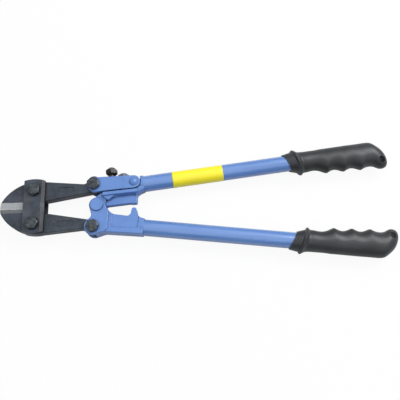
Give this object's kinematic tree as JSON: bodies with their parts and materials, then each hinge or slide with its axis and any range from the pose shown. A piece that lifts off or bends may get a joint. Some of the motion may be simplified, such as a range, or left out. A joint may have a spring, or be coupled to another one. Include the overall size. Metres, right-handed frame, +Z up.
{
  "type": "bolt cutters",
  "caption": "Two-handed bolt cutters with bolted jaws, link plates, a side adjusting screw, tubular handles and moulded finger grips, lying flat and closed.",
  "frame": {"origin": "below the middle of the overall length, on the tool's centre line, on the surface that the bolt ends and grip flanges rest on", "axes": "+X from the jaws to the grips, +Y to the handle that carries the adjusting link, +Z up from the surface it lies on"},
  "size_m": [0.4623, 0.1422, 0.032],
  "materials": {
    "jaw_black": "satin",
    "plate_black": "satin",
    "fastener_black": "satin",
    "screw_black": "satin",
    "casting_blue": "gloss",
    "rivet_blue": "gloss",
    "tube_blue": "gloss",
    "grip_black": "matt"
  },
  "bodies": {
    "lower_handle": {"lower_handle_casting": "casting_blue", "lower_tube": "tube_blue", "lower_grip": "grip_black", "centre_pivot_rivet": "rivet_blue", "centre_pivot_washer": "rivet_blue", "lower_arm_bolt": "fastener_black", "lower_arm_nut": "fastener_black"},
    "upper_handle": {"upper_handle_casting": "casting_blue", "upper_tube": "tube_blue", "upper_grip": "grip_black", "link_rivet": "rivet_blue", "lock_bolt": "rivet_blue"},
    "adjusting_link": {"adjusting_link": "casting_blue", "upper_arm_bolt": "fastener_black", "upper_arm_nut": "fastener_black"},
    "adjusting_screw": {"adjusting_screw": "screw_black"},
    "lower_jaw": {"lower_jaw": "jaw_black"},
    "link_plates": {"front_link_plate": "plate_black", "back_link_plate": "plate_black", "upper_jaw_bolt": "fastener_black", "lower_jaw_bolt": "fastener_black", "upper_jaw_nut": "fastener_black", "lower_jaw_nut": "fastener_black"},
    "upper_jaw": {"upper_jaw": "jaw_black"}
  },
  "joints": [
    {"name": "handle_swing", "type": "hinge", "parent": "lower_handle", "child": "upper_handle", "pos_m": [-0.11656, 0, 0.016], "axis": [0, 0, 1], "range_deg": [0, 100]},
    {"name": "lower_jaw_swing", "type": "hinge", "parent": "lower_handle", "child": "lower_jaw", "pos_m": [-0.12076, -0.0253, 0.016], "axis": [0, 0, 1], "range_deg": [0, 60.22]},
    {"name": "link_plate_swing", "type": "hinge", "parent": "lower_jaw", "child": "link_plates", "pos_m": [-0.18946, -0.0199, 0.016], "axis": [0, 0, 1], "range_deg": [-10.22, 0]},
    {"name": "upper_jaw_swing", "type": "hinge", "parent": "link_plates", "child": "upper_jaw", "pos_m": [-0.18946, 0.0199, 0.016], "axis": [0, 0, 1], "range_deg": [-10.22, 0]},
    {"name": "link_tilt", "type": "hinge", "parent": "upper_handle", "child": "adjusting_link", "pos_m": [-0.07416, 0.0273, 0.016], "axis": [0, 0, 1], "range_deg": [-0.6, 0.6]},
    {"name": "adjusting_screw_turn", "type": "hinge", "parent": "adjusting_link", "child": "adjusting_screw", "pos_m": [-0.10136, 0.035, 0.016], "axis": [0, 1, 0], "range_deg": [-82, 82]}
  ],
  "couplings": [
    {"joint": "lower_jaw_swing", "follows": "handle_swing", "ratio": 0.60203},
    {"joint": "link_plate_swing", "follows": "handle_swing", "ratio": -0.10203},
    {"joint": "upper_jaw_swing", "follows": "handle_swing", "ratio": -0.10203},
    {"joint": "link_tilt", "follows": "adjusting_screw_turn", "ratio": 0.007315}
  ]
}
